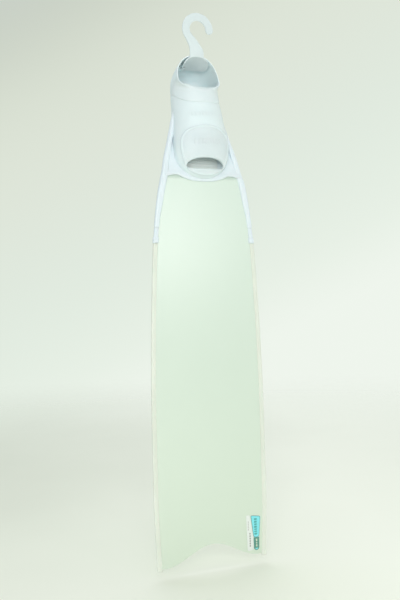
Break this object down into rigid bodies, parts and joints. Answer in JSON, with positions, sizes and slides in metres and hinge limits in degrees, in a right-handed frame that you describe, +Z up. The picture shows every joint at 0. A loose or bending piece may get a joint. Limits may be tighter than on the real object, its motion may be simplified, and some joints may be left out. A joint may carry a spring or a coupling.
{
  "type": "freediving fin",
  "caption": "Long-blade freediving fin with a full foot pocket, open toe, side tendons and edge rails, hanging tip-down on a removable plastic hook hanger.",
  "frame": {"origin": "the seat inside the hanger's hook, where the hook rests on what it hangs from", "axes": "+Z up along the blade from its tip to the hook, +X across the blade, +Y towards the sole side of the foot pocket"},
  "size_m": [0.212, 0.1041, 0.9641],
  "materials": {
    "pocket_rubber": "matte",
    "frame_rubber": "satin",
    "laminate": "satin",
    "rail": "satin",
    "steel": "satin",
    "hanger_plastic": "satin",
    "label_cyan": "gloss",
    "label_green": "gloss",
    "label_clear": "gloss"
  },
  "bodies": {
    "fin": {"foot_pocket_shell": "pocket_rubber", "instep_band": "pocket_rubber", "toe_panel": "pocket_rubber", "footbed": "pocket_rubber", "outsole": "frame_rubber", "front_web": "frame_rubber", "rear_web": "frame_rubber", "blade": "laminate", "tendon_left": "frame_rubber", "tendon_right": "frame_rubber", "tendon_collar_left": "frame_rubber", "tendon_collar_right": "frame_rubber", "blade_rail_left": "rail", "blade_rail_right": "rail", "blade_screw_left": "steel", "blade_screw_right": "steel", "screw_washer_left": "steel", "screw_washer_right": "steel", "screw_nut_left": "steel", "screw_nut_right": "steel", "label_top": "label_cyan", "label_end": "label_green", "label_strip": "label_clear"},
    "shop_hanger": {"hanger": "hanger_plastic"}
  },
  "joints": [
    {"name": "hanger_slide", "type": "slide", "parent": "fin", "child": "shop_hanger", "axis": [0, -0.9272, 0.3746], "range_m": [0, 0.08]}
  ]
}
